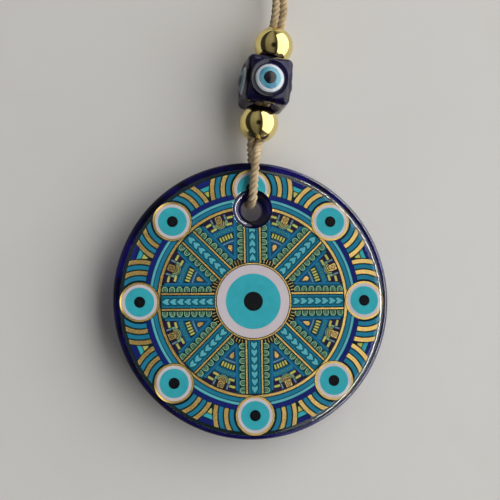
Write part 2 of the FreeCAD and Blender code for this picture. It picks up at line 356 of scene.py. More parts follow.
def layHairs(name, line, count):  # loose fibres that stand off the twine
    frames = framesAlong(line)
    spots, faces = [], []
    for _ in range(count):
        i = random.randrange(2, len(line) - 3)
        _, ahead, side, other = frames[i]
        turn = random.uniform(0, 2 * pi)
        outward = swing(side, other, turn)
        along = ahead * random.choice((-1, 1))
        length = random.uniform(*twine["hairLength"]) * mm
        lift = random.uniform(*twine["hairLift"]) * mm
        across = ahead.cross(outward)
        curl = across * random.uniform(-twine["hairCurl"], twine["hairCurl"]) * mm
        root = line[i] + outward * twine["hairRoot"]
        first = len(spots)
        for step in range(4):
            share = step / 3
            spot = root + along * length * share + outward * lift * share**1.6 + curl * share**2
            thick = twine["hairRadius"] * (1 - 0.7 * share)
            for k in range(3):
                around = thirdTurn * k
                spots.append(spot + swing(outward, across, around) * thick)
        for step in range(3):
            for k in range(3):
                here, there = first + step * 3 + k, first + step * 3 + (k + 1) % 3
                faces.append((here, there, there + 3, here + 3))
        faces.append((first + 2, first + 1, first))
        faces.append((first + 9, first + 10, first + 11))
    mesh = bpy.data.meshes.new(name)
    mesh.from_pydata(spots, [], faces)
    layer = mesh.uv_layers.new(name="UVMap")
    for corner, loop in enumerate(mesh.loops):
        layer.data[corner].uv = (spots[loop.vertex_index].z / twine["lap"], 0.5)
    return fixNormals(addObject(name, mesh))


def layTwine(name, line, hairs, taper=0):
    phases = [2 * pi * i / twine["plies"] for i in range(twine["plies"])]
    parts = [layPly(name + "Ply", line, phase, taper) for phase in phases]
    parts.append(layHairs(name + "Hairs", line, hairs))
    return joined(name, parts)


stringLine = readLine("stringLine", twine["route"], twine["smoothness"])
hangingTwine = layTwine("hangingTwine", stringLine, twine["hairs"])
runLength = sum((b - a).length for a, b in zip(stringLine, stringLine[1:]))
print("twine laid,", round(runLength / mm, 1), "mm")

# end knot
knot = dict(
    wrapReach=3.2,  # mm, from the knot's middle to the middle of a wrapping strand
    wrapTurns=1.25,
    wrapLow=7.0,
    wrapHigh=11.4,
    strandGap=2.45,
    smoothness=18,
    start=2.2,  # radians round the knot where a wrap comes out
    tuck=0.9,  # mm and radians by which its ends go back into the middle
    endHairs=60,
    wrapHairs=50,
    endTaper=7,
    frayStrands=16,
    frayThick=0.13 * mm,
    ends=[
        [(-1.32, 0, 4.6), (-1.3, 0.3, 8.0), (-1.32, 0, 12.5), (-1.82, 0, 18.4), (-3.62, -0.6, 23.3)],
        [(1.32, 0, 4.6), (1.3, -0.3, 8.0), (1.32, 0, 12.5), (1.82, 0, 18.4), (3.62, -0.6, 23.3)],
    ],
)


def wrapRoute(lift):  # a strand that comes out of the knot's middle, goes round it and back in
    turns, steps, start, tuck = knot["wrapTurns"], 12, knot["start"], knot["tuck"]
    route = [(tuck * cos(start - tuck), tuck * sin(start - tuck), knot["wrapLow"] + lift - 0.3)]
    for step in range(steps + 1):
        share = step / steps
        angle = start + 2 * pi * turns * share
        height = knot["wrapLow"] + lift + (knot["wrapHigh"] - knot["wrapLow"] - knot["strandGap"]) * share
        reach = knot["wrapReach"] + 0.12 * sin(3 * angle)
        route.append((reach * cos(angle), reach * sin(angle), height))
    angle = start + 2 * pi * turns + tuck
    height = knot["wrapHigh"] + lift - knot["strandGap"] + 0.3
    route.append((tuck * cos(angle), tuck * sin(angle), height))
    return route


def makeKnot():
    parts = []
    for number, route in enumerate(knot["ends"]):
        line = readLine("tailLine", route, knot["smoothness"] * 2)
        parts.append(layTwine(f"tail{number}", line, knot["endHairs"], knot["endTaper"]))
        parts.append(fray(line, number))
    for number, lift in enumerate((0, knot["strandGap"])):
        line = readLine("wrapLine", wrapRoute(lift), knot["smoothness"])
        parts.append(layTwine(f"wrap{number}", line, knot["wrapHairs"]))
    return joined("endKnot", parts)


def fray(line, number):  # the brush of fibres at a cut end
    end, before = line[-1], line[-6]
    ahead = (end - before).normalized()
    brush = []
    for _ in range(knot["frayStrands"]):
        angle, spread = random.uniform(0, fullTurn), random.uniform(0, 0.55)
        side = Vector((cos(angle), sin(angle), 0)) * spread * mm
        tip = end + side * 2.2 - ahead * random.uniform(0.2, 1.4) * mm * 0.2
        start = end + side - ahead * 1.6 * mm
        rings = []
        for step in range(4):
            share = step / 3
            spot = start.lerp(tip, share)
            thick = knot["frayThick"] * (1 - 0.6 * share)
            corners = [Vector((cos(thirdTurn * k), sin(thirdTurn * k), 0)) for k in range(3)]
            rings.append([spot + corner * thick for corner in corners])
        brush.append(tubeMesh(f"fray{number}", rings, [0, 0.001, 0.002, 0.003], 3))
    return joined(f"fray{number}", brush)


endKnot = makeKnot()
print("knot tied")


# finishes
def srgb(red, green, blue, gain=1.0):
    parts = []
    for value in (red, green, blue):
        value /= 255
        linear = value / 12.92 if value <= 0.04045 else ((value + 0.055) / 1.055) ** 2.4
        parts.append(min(0.95, linear * gain))
    return (*parts, 1)


def newGroup(name, inputs, outputs):
    group = bpy.data.node_groups.new(name, "ShaderNodeTree")
    for label, kind, value in inputs:
        socket = group.interface.new_socket(label, in_out="INPUT", socket_type="NodeSocket" + kind)
        socket.default_value = value
    for label, kind in outputs:
        group.interface.new_socket(label, in_out="OUTPUT", socket_type="NodeSocket" + kind)
    return group, group.nodes.new("NodeGroupInput").outputs, group.nodes.new("NodeGroupOutput").inputs


def wire(tree, *pairs):
    for source, target in pairs:
        tree.links.new(source, target)


def sums(tree, kind, first, second=None, third=None):  # a math node, with numbers or outputs in its sockets
    node = tree.nodes.new("ShaderNodeMath")
    node.operation = kind
    for socket, value in zip(node.inputs, (first, second, third)):
        if isinstance(value, (int, float)):
            socket.default_value = value
        elif value is not None:
            tree.links.new(value, socket)
    return node.outputs[0]


def spread(tree, value, low, high, toLow=0.0, toHigh=1.0):
    node = tree.nodes.new("ShaderNodeMapRange")
    tree.links.new(value, node.inputs["Value"])
    for label, number in (("From Min", low), ("From Max", high), ("To Min", toLow), ("To Max", toHigh)):
        node.inputs[label].default_value = number
    return node.outputs["Result"]


def blendColours(tree, share, first, second):
    node = tree.nodes.new("ShaderNodeMix")
    node.data_type = "RGBA"
    tree.links.new(share, node.inputs["Factor"])
    for socket, value in ((node.inputs[6], first), (node.inputs[7], second)):
        if isinstance(value, tuple):
            socket.default_value = value
        else:
            tree.links.new(value, socket)
    return node.outputs[2]


def objectPlace(tree):
    return tree.nodes.new("ShaderNodeTexCoord").outputs["Object"]


def noise(tree, place, scale, detail=3.0, distortion=0.0):
    node = tree.nodes.new("ShaderNodeTexNoise")
    tree.links.new(place, node.inputs["Vector"])
    if isinstance(scale, (int, float)):
        node.inputs["Scale"].default_value = scale
    else:
        tree.links.new(scale, node.inputs["Scale"])
    node.inputs["Detail"].default_value = detail
    node.inputs["Distortion"].default_value = distortion
    return node.outputs["Fac"]


def buildUnevenCoat():  # patchy colour, roughness and height for ink, paint, enamel and polished metal
    group, give, take = newGroup(
        "unevenCoat",
        [("Main", "Color", (0.5, 0.5, 0.5, 1)), ("Worn", "Color", (0.4, 0.4, 0.4, 1)),
         ("Scale", "Float", 300.0), ("Patchiness", "Float", 0.5),
         ("Smooth", "Float", 0.3), ("Rough", "Float", 0.5)],
        [("Color", "Color"), ("Roughness", "Float"), ("Height", "Float")],
    )
    place = objectPlace(group)
    broad = noise(group, place, give["Scale"], 4.0, 0.3)
    fine = noise(group, place, sums(group, "MULTIPLY", give["Scale"], 7.0), 2.0)
    patch = sums(group, "MULTIPLY", spread(group, broad, 0.35, 0.7), give["Patchiness"])
    speck = sums(group, "MULTIPLY", spread(group, fine, 0.5, 0.75), 0.35)
    share = sums(group, "MULTIPLY_ADD", speck, give["Patchiness"], patch)
    rough = group.nodes.new("ShaderNodeMapRange")
    wire(
        group,
        (fine, rough.inputs["Value"]),
        (give["Smooth"], rough.inputs["To Min"]),
        (give["Rough"], rough.inputs["To Max"]),
        (blendColours(group, share, give["Main"], give["Worn"]), take["Color"]),
        (rough.outputs["Result"], take["Roughness"]),
        (sums(group, "ADD", broad, fine), take["Height"]),
    )
    return group


def buildGlassFlow():  # the streaks, darker cords and seeds of hand-poured glass
    group, give, take = newGroup(
        "glassFlow",
        [("Clear", "Color", (0.1, 0.1, 0.5, 1)), ("Dense", "Color", (0.01, 0.01, 0.1, 1)),
         ("Scale", "Float", 40.0)],
        [("Color", "Color"), ("Height", "Float")],
    )
    place = objectPlace(group)
    bend = noise(group, place, sums(group, "MULTIPLY", give["Scale"], 0.6), 2.0, 0.8)
    streak = noise(group, place, give["Scale"], 3.0, 2.2)
    seeds = group.nodes.new("ShaderNodeTexVoronoi")
    wire(
        group,
        (place, seeds.inputs["Vector"]),
        (sums(group, "MULTIPLY", give["Scale"], 9.0), seeds.inputs["Scale"]),
    )
    seed = spread(group, seeds.outputs["Distance"], 0.05, 0.14, 1.0, 0.0)
    share = spread(group, sums(group, "ADD", bend, streak), 0.78, 1.12)
    wire(
        group,
        (blendColours(group, share, give["Clear"], give["Dense"]), take["Color"]),
        (sums(group, "MULTIPLY_ADD", seed, 0.12, streak), take["Height"]),
    )
    return group


def buildJuteFibre():  # fibres that run round each ply, laid out on the twine's own UV map, with painted shade in the grooves between them
    group, give, take = newGroup(
        "juteFibre",
        [("Straw", "Color", (0.6, 0.5, 0.3, 1)), ("HuskAndGrooveShade", "Color", (0.3, 0.2, 0.1, 1)),
         ("Fibres", "Float", 8.0)],
        [("Color", "Color"), ("Roughness", "Float"), ("Height", "Float")],
    )
    lap = group.nodes.new("ShaderNodeUVMap")
    lap.uv_map = "UVMap"
    split = group.nodes.new("ShaderNodeSeparateXYZ")
    wire(group, (lap.outputs["UV"], split.inputs[0]))
    place = objectPlace(group)
    waver = sums(group, "MULTIPLY", noise(group, place, 900.0, 3.0), 1.6)
    slope = sums(group, "MULTIPLY_ADD", split.outputs["X"], 1.15, split.outputs["Y"])
    lanes = sums(group, "MULTIPLY_ADD", slope, give["Fibres"], waver)
    ridge = sums(group, "ABSOLUTE", sums(group, "SINE", sums(group, "MULTIPLY", lanes, pi)))
    dust = noise(group, place, 2600.0, 4.0)
    tone = noise(group, place, 220.0, 3.0)
    # painted shade: the grooves between the fibres are blended towards the dark colour, as if shade fell
    # there; the noise tone adds random darker fibres on top
    grooveShade = spread(group, ridge, 0.0, 0.6, 0.75, 0.0)
    shade = sums(group, "MULTIPLY_ADD", spread(group, tone, 0.35, 0.7), 0.55, grooveShade)
    wire(
        group,
        (blendColours(group, shade, give["Straw"], give["HuskAndGrooveShade"]), take["Color"]),
        (spread(group, dust, 0.3, 0.7, 0.75, 0.95), take["Roughness"]),
        (sums(group, "MULTIPLY_ADD", dust, 0.5, ridge), take["Height"]),
    )
    return group


unevenCoat, glassFlow, juteFibre = buildUnevenCoat(), buildGlassFlow(), buildJuteFibre()


def newPaint(name, group, inputs, constants, bump=0.0, bumpDepth=0.02 * mm):
    paint = bpy.data.materials.new(name)
    paint.use_nodes = True
    tree = paint.node_tree
    shader = tree.nodes["Principled BSDF"]
    effect = tree.nodes.new("ShaderNodeGroup")
    effect.node_tree = group
    for label, value in inputs.items():
        effect.inputs[label].default_value = value
    wire(tree, (effect.outputs["Color"], shader.inputs["Base Color"]))
    if "Roughness" in effect.outputs and "Roughness" not in constants:
        wire(tree, (effect.outputs["Roughness"], shader.inputs["Roughness"]))
    for label, value in constants.items():
        shader.inputs[label].default_value = value
    if bump:
        relief = tree.nodes.new("ShaderNodeBump")
        relief.inputs["Strength"].default_value = bump
        relief.inputs["Distance"].default_value = bumpDepth
        wire(
            tree,
            (effect.outputs["Height"], relief.inputs["Height"]),
            (relief.outputs["Normal"], shader.inputs["Normal"]),
        )
    return paint


def mixShaders(tree, share, first, second, target):  # first where the share is 0, second where it is 1
    mix = tree.nodes.new("ShaderNodeMixShader")
    wire(tree, (share, mix.inputs["Fac"]), (first, mix.inputs[1]), (second, mix.inputs[2]))
    wire(tree, (mix.outputs["Shader"], target))


def letLampsThrough(paint, clearness):  # lamp light passes, so that what lies under the glass is lit
    tree = paint.node_tree
    shader, output = tree.nodes["Principled BSDF"], tree.nodes["Material Output"]
    rays = tree.nodes.new("ShaderNodeLightPath").outputs
    clear = tree.nodes.new("ShaderNodeBsdfTransparent")
    clear.inputs["Color"].default_value = clearness
    passing = rays["Is Shadow Ray"]
    mixShaders(tree, passing, shader.outputs["BSDF"], clear.outputs["BSDF"], output.inputs["Surface"])
    return paint


# the dark jute colour stands for darker fibres and also for the painted shade in the grooves between them
jutePaint = newPaint(
    "juteTwine", juteFibre,
    {"Straw": srgb(232, 212, 172), "HuskAndGrooveShade": srgb(150, 118, 78), "Fibres": 8.0},
    {"Specular IOR Level": 0.25, "Sheen Weight": 0.25, "Sheen Roughness": 0.5}, bump=0.8, bumpDepth=0.09 * mm,
)
cobaltPaint = newPaint(
    "cobaltGlass", glassFlow,
    {"Clear": srgb(44, 34, 160), "Dense": srgb(6, 6, 40), "Scale": 60.0},
    {"Roughness": 0.04, "IOR": 1.52, "Transmission Weight": 0.7}, bump=0.12, bumpDepth=0.1 * mm,
)
cubePaint = newPaint(
    "cubeGlass", glassFlow,
    {"Clear": srgb(28, 14, 110), "Dense": srgb(3, 3, 16), "Scale": 90.0},
    {"Roughness": 0.16, "IOR": 1.5, "Transmission Weight": 0.8}, bump=0.1, bumpDepth=0.1 * mm,
)
resinPaint = letLampsThrough(newPaint(
    "clearResin", unevenCoat,
    {"Main": (1, 1, 1, 1), "Worn": (0.96, 0.97, 0.96, 1), "Scale": 120.0, "Patchiness": 0.3,
     "Smooth": 0.02, "Rough": 0.05},
    {"IOR": 1.48, "Transmission Weight": 1.0}, bump=0.03, bumpDepth=0.02 * mm,
), (0.96, 0.96, 0.96, 1))
goldPaint = newPaint(
    "goldMetal", unevenCoat,
    {"Main": srgb(250, 230, 156), "Worn": srgb(228, 200, 118), "Scale": 260.0, "Patchiness": 0.5,
     "Smooth": 0.05, "Rough": 0.12},
    {"Metallic": 1.0}, bump=0.06, bumpDepth=0.03 * mm,
)
whitePaint = newPaint(
    "whiteGlass", glassFlow, {"Clear": srgb(235, 240, 246), "Dense": srgb(205, 220, 232), "Scale": 260.0},
    {"Roughness": 0.25, "Coat Weight": 0.3, "Coat Roughness": 0.2}, bump=0.05, bumpDepth=0.05 * mm,
)
bluePaint = newPaint(
    "blueGlass", glassFlow, {"Clear": srgb(116, 192, 212), "Dense": srgb(36, 120, 168), "Scale": 110.0},
    {"Roughness": 0.25, "Coat Weight": 0.3, "Coat Roughness": 0.2}, bump=0.05, bumpDepth=0.05 * mm,
)
blackPaint = newPaint(
    "blackGlass", glassFlow, {"Clear": srgb(34, 28, 30), "Dense": srgb(8, 12, 24), "Scale": 300.0},
    {"Roughness": 0.3, "Coat Weight": 0.2, "Coat Roughness": 0.15}, bump=0.05, bumpDepth=0.04 * mm,
)
for piece in (hangingTwine, endKnot):
    dress(piece, jutePaint)
print("finishes mixed")

# glass disc, with its hanging hole
glass = dict(
    sides=176, frontRound=1.0 * mm, backRound=2.0 * mm,
    holeRadius=3.5 * mm, holeSides=72, mouthRound=2.95 * mm, flareRound=1.95 * mm,
    drillPast=3 * mm,
)
discLow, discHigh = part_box("glass_disc")
discMiddle, discRadius = (discLow + discHigh) / 2, (discHigh.x - discLow.x) / 2
holeSpot = Vector(joints["disc_swing"]["pos_m"])


def roundPlate(name, middle, radius, front, back, sides):  # a disc standing upright between two depths
    deselectAll()
    bpy.ops.mesh.primitive_cylinder_add(
        vertices=sides, radius=radius, depth=back - front,
        location=(middle.x, (front + back) / 2, middle.z), rotation=(pi / 2, 0, 0),
    )
    return settle(newest(name))


def awayFrom(spot, centre):  # the distance across the disc's face
    return hypot(spot.x - centre.x, spot.z - centre.z)


def evenShading(piece):
    return runModifier(shadeSmooth(piece), "WEIGHTED_NORMAL", keep_sharp=True)


def makeGlassDisc():
    plate = roundPlate("glassDisc", discMiddle, discRadius, discLow.y, discHigh.y, glass["sides"])
    roundEdges(plate, lambda spot: abs(spot.y - discLow.y) < flush, glass["frontRound"], 5)
    roundEdges(plate, lambda spot: abs(spot.y - discHigh.y) < flush, glass["backRound"], 7)
    front, back = discLow.y - glass["drillPast"], discHigh.y + glass["drillPast"]
    drill(plate, roundPlate("holeDrill", holeSpot, glass["holeRadius"], front, back, glass["holeSides"]))

    def onHole(depth):
        reach = glass["holeRadius"] * 1.02
        return lambda spot: abs(spot.y - depth) < flush and awayFrom(spot, holeSpot) < reach

    roundEdges(plate, onHole(discLow.y), glass["mouthRound"], 9)
    roundEdges(plate, onHole(discHigh.y), glass["flareRound"], 7)
    return dress(evenShading(plate), cobaltPaint)


glassDisc = makeGlassDisc()
print("disc cast")

# resin over the print
coat = dict(
    edgeRound=0.7 * mm, edgeSpread=2.2 * mm, mouthRound=0.4 * mm, sides=176,
    mouthGap=3.0 * mm,  # from the disc's hole to the resin's
    mouthSides=96, drillPast=1 * mm,
)
resinLow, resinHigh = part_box("resin_coat")
mouthRadius = glass["holeRadius"] + coat["mouthGap"]


def mouthDrill(name, front, back):
    past = coat["drillPast"]
    return roundPlate(name, holeSpot, mouthRadius, front - past, back + past, coat["mouthSides"])


def makeResin():
    middle, radius = (resinLow + resinHigh) / 2, (resinHigh.x - resinLow.x) / 2
    slab = roundPlate("resinCoat", middle, radius, resinLow.y, resinHigh.y, coat["sides"])
    roundEdges(slab, lambda spot: abs(spot.y - resinLow.y) < flush, coat["edgeRound"], 9)
    for vertex in slab.data.vertices:  # the rounded edge falls away over a wider band, as poured resin does
        reach = awayFrom(vertex.co, middle)
        gap = radius - reach
        if 0 < gap < coat["edgeRound"] * 1.01:
            pull = (radius - gap * coat["edgeSpread"] / coat["edgeRound"]) / reach
            vertex.co.x = middle.x + (vertex.co.x - middle.x) * pull
            vertex.co.z = middle.z + (vertex.co.z - middle.z) * pull
    drill(slab, mouthDrill("resinDrill", resinLow.y, resinHigh.y))

    def onMouth(spot):
        return abs(spot.y - resinLow.y) < flush and awayFrom(spot, holeSpot) < mouthRadius * 1.02

    roundEdges(slab, onMouth, coat["mouthRound"], 4)
    return dress(evenShading(slab), resinPaint)


resinCoat = makeResin()
print("resin poured")

# printed film: flat ink shapes laid out in millimetres round the print's middle, then stood up on the disc
film = dict(
    level=0.008,  # mm between one layer of ink and the next
    plate=0.206 * mm,  # thickness of the film under the ink, which the resin was poured over
    spin=1.0,  # degrees that the film was glued on askew
    sectors=8,
    gain=0.84,  # how much of each ink's lightness is kept
)
filmLow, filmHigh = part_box("printed_film")
filmMiddle, filmRadius = (filmLow + filmHigh) / 2, (filmHigh.x - filmLow.x) / 2
inkShades = dict(
    night=(4, 26, 30), plum=(34, 22, 52), deepBlue=(18, 72, 112), bandBlue=(10, 88, 112),
    lineBlue=(30, 104, 148), stripeBlue=(30, 116, 146), navy=(18, 30, 104), turquoise=(52, 160, 172),
    paleBlue=(88, 170, 182), seaGreen=(122, 168, 134), lime=(176, 180, 92), greyBlue=(96, 132, 150),
    white=(190, 181, 187), black=(8, 10, 14),
)
inkColours = {ink: srgb(*shade, film["gain"]) for ink, shade in inkShades.items()}
sheets, done = {}, {}  # the shapes of each ink in the sector being drawn, and round the whole print


def flat(piece, ink):
    sheets.setdefault(ink, []).append(settle(piece))
    return piece


def inkDisk(ink, level, radius, at=(0, 0), sides=64):
    deselectAll()
    spot = (*at, film["level"] * level)
    bpy.ops.mesh.primitive_circle_add(vertices=sides, radius=radius, fill_type="NGON", location=spot)
    return flat(bpy.context.object, ink)


def inkRing(ink, level, outer, inner, at=(0, 0), sides=64):  # a whole disk where inner is 0
    ring = inkDisk(ink, level, outer, at, sides)
    if inner:
        toEdit()
        pickAll()
        bpy.ops.mesh.inset(thickness=(outer - inner) * cos(pi / sides))
        bpy.ops.mesh.delete(type="FACE")
        toObject()
    return ring


def trim(piece, spot, outward):  # takes away what lies past a straight cut
    editAll(piece)
    bpy.ops.mesh.bisect(plane_co=(*spot, 0), plane_no=(*outward, 0), clear_outer=True)
    toObject()
    return piece


def trimWedge(piece, degrees):  # keeps what lies within this angle either side of +X
    angle = radians(degrees)
    for side in (1, -1):
        trim(piece, (0, 0), (-sin(angle), side * cos(angle)))
    return piece


def inkArc(ink, level, outer, inner, degrees, sides=200):  # a stretch of ring about the middle, across +X
    return trimWedge(inkRing(ink, level, outer, inner, sides=sides), degrees)


def inkBar(ink, level, length, width, at, degrees=0):
    deselectAll()
    spot = (*at, film["level"] * level)
    bpy.ops.mesh.primitive_plane_add(size=1, location=spot, rotation=(0, 0, radians(degrees)))
    bpy.context.object.scale = (length, width, 1)
    return flat(bpy.context.object, ink)


def inkShape(ink, level, outline):  # a blank with as many corners as the outline, pulled to it
    shape = inkDisk(ink, level, 1, sides=len(outline))
    for vertex, (x, y) in zip(shape.data.vertices, outline):
        vertex.co.x, vertex.co.y = x, y
    return shape


def around(radius, degrees):
    return radius * cos(radians(degrees)), radius * sin(radians(degrees))


def repeatSectors(start=0.0):  # turns what is on the sheets by start, and copies it round the print
    for ink, pieces in sheets.items():
        sector = joined(ink, pieces)
        sector.data.transform(Matrix.Rotation(radians(start), 4, "Z"))
        copies = [sector]
        for number in range(1, film["sectors"]):
            twin = copyOf(sector, ink)
            twin.data.transform(Matrix.Rotation(2 * pi * number / film["sectors"], 4, "Z"))
            copies.append(twin)
        done.setdefault(ink, []).append(joined(ink, copies))
    sheets.clear()


spoke = dict(
    start=12.4, end=29.7, pitch=2.35, count=7, firstHeart=13.1, firstArch=14.5,
    heart=[(0, 0.86), (0.55, 1.0), (1.15, 0.86), (2.3, 0), (1.15, -0.86), (0.55, -1.0), (0, -0.86), (0.5, 0)],
)


def printSpoke():
    length, middle = spoke["end"] - spoke["start"], (spoke["end"] + spoke["start"]) / 2
    inkBar("night", 4, length, 11.0, (middle, 0))
    inkBar("bandBlue", 5, length, 3.9, (middle, 0))
    for number in range(spoke["count"]):
        x = spoke["firstHeart"] + spoke["pitch"] * number
        inkShape("night", 6, [(x - 0.14 + a * 1.04, b * 1.26) for a, b in spoke["heart"]])
        inkShape("paleBlue", 7, [(x + a, b) for a, b in spoke["heart"]])
    for side in (1, -1):
        inkBar("stripeBlue", 6, length - 0.4, 0.3, (middle, 1.62 * side))
        inkBar("goldFoil", 5, length, 0.55, (middle, 2.53 * side))
        inkBar("bandBlue", 5, length - 2.0, 0.55, (middle + 0.7, 5.08 * side))
        inkBar("lineBlue", 6, 15.1, 0.62, (21.1, 5.73 * side))
        for number in range(spoke["count"]):
            printArch(spoke["firstArch"] + spoke["pitch"] * number, side)


def printArch(x, side):  # a little gate that stands on the gold line, with a dot in it
    top = (x, 3.92 * side)
    for outer, inner in ((0.96, 0.6), (0.36, 0.18)):
        trim(inkRing("seaGreen", 6, outer, inner, top, sides=20), top, (0, -side))
        for leg in (1, -1):
            reach = (outer + inner) / 2
            inkBar("seaGreen", 6, outer - inner, 0.74, (x + leg * reach, 3.55 * side))


triangle = dict(
    apex=15.9, corner=29.5, halfSpread=5.6, barPitch=2.4, bars=5,
    spikes=(-6.3, -2.1, 2.1, 6.3),  # degrees
    spikeRadius=13.6,
    emblem=[("seaGreen", 2.05, 1.8), ("lime", 1.5, 1.22), ("goldFoil", 0.9, 0.62), ("lime", 0.3, 0.0)],
    emblemAt=(27.6, 0), squareAt=(28.7, 0), dotRadius=24.48,
)


def printTriangle():
    apex, corner, half = triangle["apex"], triangle["corner"], triangle["halfSpread"]
    rise = half / (corner - apex)
    rimPoints = [around(30.05, degrees) for degrees in (-10.8, -7.2, -3.6, 0, 3.6, 7.2, 10.8)]
    inkShape("deepBlue", 5, [(apex, 0)] + rimPoints)
    inkShape("plum", 6, [(25.5, -(25.5 - apex) * rise)] + rimPoints + [(25.5, (25.5 - apex) * rise)])
    drop = [around(1.0, degrees) for degrees in range(-110, 111, 22)]
    inkShape("night", 6, [(16.9, 0)] + [(19.1 + x, y) for x, y in drop])
    inkShape("goldFoil", 7, [(17.4, 0)] + [(19.1 + 0.72 * x, 0.72 * y) for x, y in drop])
    for degrees in triangle["spikes"]:  # gold, round the big eye
        inkBar("goldFoil", 8, 1.5, 0.22, around(triangle["spikeRadius"], degrees), degrees)
    inkArc("greyBlue", 6, 20.9, 20.45, 5.2)
    inkArc("night", 6, 23.35, 21.35, 6.8)
    for number in range(triangle["bars"]):
        degrees = triangle["barPitch"] * (number - (triangle["bars"] - 1) / 2)
        inkBar("lime", 7, 1.5, 0.58, around(22.35, degrees), degrees)
    inkArc("stripeBlue", 6, 25.2, 23.75, 7.9)
    for degrees in (-4.35, 0, 4.35):
        at = around(triangle["dotRadius"], degrees)
        inkDisk("night", 7, 0.6, at, 20)
        inkRing("paleBlue", 8, 0.42, 0.26, at, 18)
    for radius, degrees in ((26.25, 5.9), (28.35, 7.6)):
        for side in (1, -1):
            inkBar("lime", 7, 0.72, 1.93, around(radius, side * degrees), side * degrees)
    inkBar("night", 7, 2.5, 2.5, triangle["squareAt"])
    inkBar("goldFoil", 8, 2.06, 2.06, triangle["squareAt"])
    inkRing("night", 9, 0.78, 0.52, triangle["squareAt"], 24)
    inkDisk("night", 9, 0.22, triangle["squareAt"], 16)
    at = triangle["emblemAt"]
    for ink, outer, inner in triangle["emblem"]:
        trim(inkRing(ink, 7, outer, inner, at, 32 if inner else 16), at, (1, 0))
    for side in (1, -1):
        inkBar("greyBlue", 7, 1.6, 0.5, around(28.85, 4.55 * side), 4.55 * side)
        inkBar("seaGreen", 7, 1.1, 0.4, around(27.3, 4.9 * side), 4.9 * side)


border = dict(
    eye=36.7, inner=35.35, outer=41.9, rim=42.95, halfSector=22.5,
    stripes=[
        ("stripeBlue", 8.35, 7.0), ("goldFoil", 10.1, 8.8),
        ("stripeBlue", 11.85, 10.55), ("goldFoil", 13.6, 12.3),
    ],
    rings=[
        ("goldFoil", 31.0, 30.2), ("stripeBlue", 32.55, 31.35),
        ("paleBlue", 33.6, 32.8), ("navy", 35.2, 33.75),
    ],
)


def printBorder():  # stripes that follow the small eye, in a ring round the print
    for ink, outer, inner in border["stripes"]:
        stripe = trimWedge(inkRing(ink, 2, outer, inner, (border["eye"], 0), 128), border["halfSector"])
        for degrees in range(-20, 21, 4):
            trim(stripe, around(border["outer"] + 0.4, degrees), around(1, degrees))


def printGap():  # the three fields between two sets of stripes
    inkShape("lime", 1, [(36.9, -0.2), (38.5, -0.75), (38.5, 0.75), (36.9, 0.2)])
    inkShape("turquoise", 1, [(38.8, -0.9), (40.1, -1.6), (40.1, 1.6), (38.8, 0.9)])
    inkShape("navy", 1, [(40.4, -1.75), (42.3, -3.0), (42.3, 3.0), (40.4, 1.75)])


# ink, level, outer and inner radius, sides
smallEye = [
    ("night", 5, 6.5, 0, 72), ("goldFoil", 6, 6.3, 5.6, 72), ("white", 7, 5.6, 0, 72),
    ("turquoise", 8, 4.67, 0, 64), ("black", 9, 1.8, 0, 40),
]
bigEye = [
    ("night", 6, 12.75, 0, 128), ("goldFoil", 7, 12.5, 12.1, 128), ("white", 7, 11.86, 0, 128),
    ("turquoise", 8, 8.98, 0, 112), ("black", 9, 3.14, 0, 72),
]


def printEye(layers, at=(0, 0)):
    for ink, level, outer, inner, sides in layers:
        inkRing(ink, level, outer, inner, at, sides)


def printRings():  # full rings, and the big eye in the middle
    inkDisk("night", 3, border["inner"], sides=160)
    inkRing("night", 3, border["rim"], border["outer"], sides=200)
    for ink, outer, inner in border["rings"]:
        inkRing(ink, 4, outer, inner, sides=200)
    printEye(bigEye)
    for ink, pieces in sheets.items():
        done.setdefault(ink, []).extend(pieces)
    sheets.clear()


def openHole(sheet, spot, radius, sides=40):  # clears the ink round the hanging hole
    half = radius * 1.08

    def inSquare(face):
        return abs(face.center.x - spot[0]) < half and abs(face.center.y - spot[1]) < half

    def inHole(face):
        return hypot(face.center.x - spot[0], face.center.y - spot[1]) < radius

    pickOnly(sheet)
    toEdit()
    for x, y in ((1, 0), (-1, 0), (0, 1), (0, -1)):
        pickAll()
        bpy.ops.mesh.bisect(plane_co=(spot[0] + x * half, spot[1] + y * half, 0), plane_no=(x, y, 0))
    if not pickFaces(sheet, inSquare):
        toObject()
        return sheet
    bpy.ops.mesh.separate(type="SELECTED")
    toObject()
    patch = next(piece for piece in bpy.context.selected_objects if piece != sheet)
    pickOnly(patch)
    toEdit()
    for number in range(sides):
        x, y = around(1, 360 * number / sides)
        pickAll()
        bpy.ops.mesh.bisect(plane_co=(spot[0] + x * radius, spot[1] + y * radius, 0), plane_no=(x, y, 0))
    pickFaces(patch, inHole)
    bpy.ops.mesh.delete(type="FACE")
    pickAll()
    bpy.ops.mesh.dissolve_limited(angle_limit=0.01)
    toObject()
    return joined(sheet.name, [sheet, patch]) if patch.data.polygons else sheet


def faceUp(sheet):  # turns over the ink shapes that were drawn clockwise
    pickFaces(sheet, lambda face: face.normal.z < 0)
    bpy.ops.mesh.flip_normals()
    toObject()


def standUp(piece):  # from the flat layout on to the front of the film
    turn = Matrix.Rotation(radians(90), 4, "X") @ Matrix.Rotation(radians(film["spin"]), 4, "Z")
    place = Matrix.Translation((filmMiddle.x, filmHigh.y - film["plate"], filmMiddle.z))
    piece.data.transform(place @ turn @ Matrix.Scale(mm, 4))
    return piece


